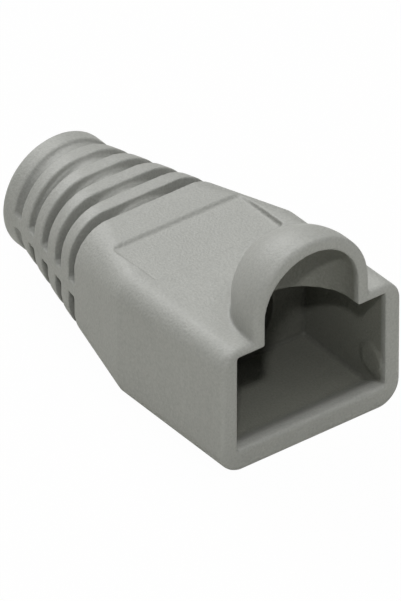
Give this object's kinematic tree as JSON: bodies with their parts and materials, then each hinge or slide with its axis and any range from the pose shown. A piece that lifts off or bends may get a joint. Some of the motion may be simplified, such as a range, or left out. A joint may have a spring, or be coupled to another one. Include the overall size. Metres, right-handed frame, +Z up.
{
  "type": "rj45 strain relief boot",
  "caption": "Soft one-piece cable boot: a box with a keyhole mouth and domed latch hood, narrowing to a slotted round sleeve.",
  "frame": {"origin": "centre of the bottom of the boot's bounding box", "axes": "+Y from the plug mouth to the cable end, +Z up through the latch hood, +X across the boot"},
  "size_m": [0.0144, 0.0276, 0.0154],
  "materials": {
    "soft_pvc": "satin"
  },
  "bodies": {
    "root": {"boot": "soft_pvc"}
  },
  "joints": []
}
